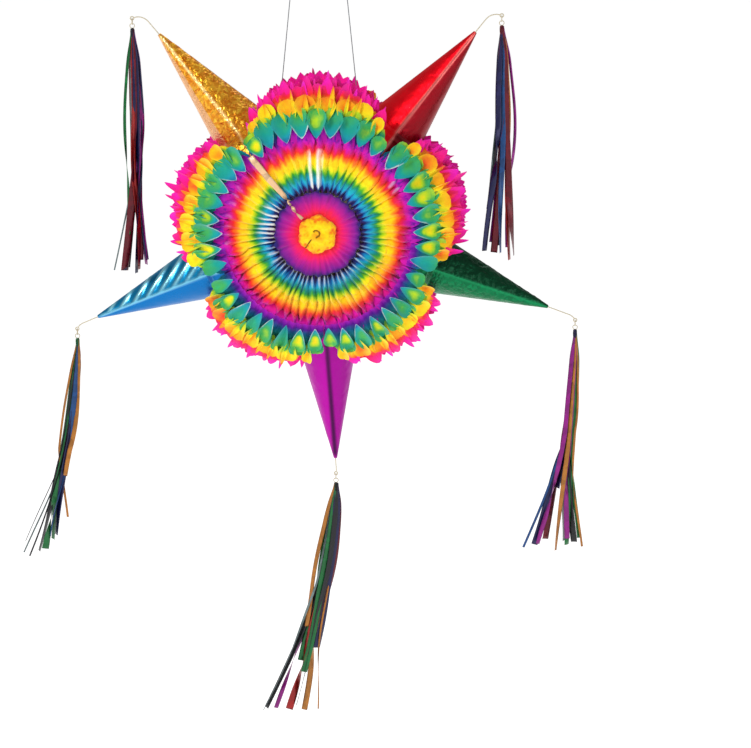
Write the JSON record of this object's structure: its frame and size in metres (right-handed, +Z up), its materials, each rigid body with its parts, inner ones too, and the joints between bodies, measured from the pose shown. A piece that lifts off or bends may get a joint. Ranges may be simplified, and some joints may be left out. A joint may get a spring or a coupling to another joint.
{
  "type": "pinata",
  "caption": "Hanging star pinata: hollow card core with foil cones, rainbow tissue fans and foil tassels, on a wire D-ring.",
  "frame": {"origin": "inside top of the wire D-ring, where a hook bears", "axes": "+Z up the hanging line, +X to the right seen from the front, front face towards -Y"},
  "size_m": [0.7572, 0.1837, 1.1067],
  "materials": {
    "papier_mache": "matte",
    "grey_card": "matte",
    "red_foil": "gloss",
    "gold_foil": "polished",
    "blue_foil": "gloss",
    "purple_foil": "gloss",
    "green_foil": "gloss",
    "twisted_foil_stem": "satin",
    "tie_thread": "matte",
    "tassel_binding": "satin",
    "tassel_strips": "gloss",
    "rainbow_tissue": "matte",
    "rosette_tissue": "matte",
    "yellow_tissue": "matte",
    "gold_ribbon": "satin",
    "dowel_wood": "matte",
    "grey_line": "matte",
    "ring_wire": "polished",
    "hinge_wire": "satin"
  },
  "bodies": {
    "ring": {"hanging_ring": "ring_wire"},
    "hanger": {"hanging_line_left": "grey_line", "hanging_line_right": "grey_line", "line_ties_top": "grey_line", "line_ties_bottom": "grey_line"},
    "pinata": {"rim_band": "papier_mache", "front_shell": "papier_mache", "back_shell": "papier_mache", "hatch_hinge_pin": "hinge_wire", "front_rosette": "rosette_tissue", "front_puff": "yellow_tissue", "gold_streamer": "gold_ribbon", "anchor_dowel": "dowel_wood", "dowel_saddles": "grey_card", "front_fan_top": "rainbow_tissue", "front_fan_left": "rainbow_tissue", "front_fan_lower_left": "rainbow_tissue", "front_fan_lower_right": "rainbow_tissue", "front_fan_right": "rainbow_tissue", "back_fan_top": "rainbow_tissue", "back_fan_left": "rainbow_tissue", "back_fan_lower_left": "rainbow_tissue", "back_fan_lower_right": "rainbow_tissue", "back_fan_right": "rainbow_tissue", "red_cone_card": "grey_card", "red_cone_foil": "red_foil", "red_cone_stem": "twisted_foil_stem", "gold_cone_card": "grey_card", "gold_cone_foil": "gold_foil", "gold_cone_stem": "twisted_foil_stem", "blue_cone_card": "grey_card", "blue_cone_foil": "blue_foil", "blue_cone_stem": "twisted_foil_stem", "purple_cone_card": "grey_card", "purple_cone_foil": "purple_foil", "purple_cone_stem": "twisted_foil_stem", "green_cone_card": "grey_card", "green_cone_foil": "green_foil", "green_cone_stem": "twisted_foil_stem"},
    "hatch": {"fill_hatch": "papier_mache", "hatch_pull_tab": "grey_card", "back_rosette": "rosette_tissue", "back_puff": "yellow_tissue"},
    "red_tie": {"red_tie_loop": "tie_thread"},
    "red_tassel": {"red_tassel_head": "tassel_binding", "red_tassel_strips": "tassel_strips"},
    "gold_tie": {"gold_tie_loop": "tie_thread"},
    "gold_tassel": {"gold_tassel_head": "tassel_binding", "gold_tassel_strips": "tassel_strips"},
    "blue_tie": {"blue_tie_loop": "tie_thread"},
    "blue_tassel": {"blue_tassel_head": "tassel_binding", "blue_tassel_strips": "tassel_strips"},
    "purple_tie": {"purple_tie_loop": "tie_thread"},
    "purple_tassel": {"purple_tassel_head": "tassel_binding", "purple_tassel_strips": "tassel_strips"},
    "green_tie": {"green_tie_loop": "tie_thread"},
    "green_tassel": {"green_tassel_head": "tassel_binding", "green_tassel_strips": "tassel_strips"}
  },
  "joints": [
    {"name": "hanger_swing", "type": "hinge", "parent": "ring", "child": "hanger", "pos_m": [0, 0, -0.03775], "axis": [1, 0, 0], "range_deg": [-60, 60]},
    {"name": "pinata_nod", "type": "hinge", "parent": "hanger", "child": "pinata", "pos_m": [0, 0, -0.30175], "axis": [1, 0, 0], "range_deg": [-12, 12]},
    {"name": "hatch_open", "type": "hinge", "parent": "pinata", "child": "hatch", "pos_m": [0, 0.07071, -0.38375], "axis": [1, 0, 0], "range_deg": [0, 80]},
    {"name": "red_tassel_sway", "type": "hinge", "parent": "pinata", "child": "red_tie", "pos_m": [0.23425, 0, -0.1566], "axis": [0, 1, 0], "range_deg": [-50, 2]},
    {"name": "red_tassel_swing", "type": "hinge", "parent": "red_tie", "child": "red_tassel", "pos_m": [0.23425, 0, -0.1632], "axis": [1, 0, 0], "range_deg": [-45, 45]},
    {"name": "gold_tassel_sway", "type": "hinge", "parent": "pinata", "child": "gold_tie", "pos_m": [-0.23945, 0, -0.161], "axis": [0, 1, 0], "range_deg": [-2.5, 50]},
    {"name": "gold_tassel_swing", "type": "hinge", "parent": "gold_tie", "child": "gold_tassel", "pos_m": [-0.23945, 0, -0.1676], "axis": [1, 0, 0], "range_deg": [-45, 45]},
    {"name": "blue_tassel_sway", "type": "hinge", "parent": "pinata", "child": "blue_tie", "pos_m": [-0.32031, 0, -0.56935], "axis": [0, 1, 0], "range_deg": [-45, 45]},
    {"name": "blue_tassel_swing", "type": "hinge", "parent": "blue_tie", "child": "blue_tassel", "pos_m": [-0.32031, 0, -0.57595], "axis": [1, 0, 0], "range_deg": [-45, 45]},
    {"name": "purple_tassel_sway", "type": "hinge", "parent": "pinata", "child": "purple_tie", "pos_m": [0.01994, 0, -0.76554], "axis": [0, 1, 0], "range_deg": [-45, 45]},
    {"name": "purple_tassel_swing", "type": "hinge", "parent": "purple_tie", "child": "purple_tassel", "pos_m": [0.01994, 0, -0.77214], "axis": [1, 0, 0], "range_deg": [-45, 45]},
    {"name": "green_tassel_sway", "type": "hinge", "parent": "pinata", "child": "green_tie", "pos_m": [0.33488, 0, -0.55519], "axis": [0, 1, 0], "range_deg": [-45, 45]},
    {"name": "green_tassel_swing", "type": "hinge", "parent": "green_tie", "child": "green_tassel", "pos_m": [0.33488, 0, -0.56179], "axis": [1, 0, 0], "range_deg": [-45, 45]}
  ]
}
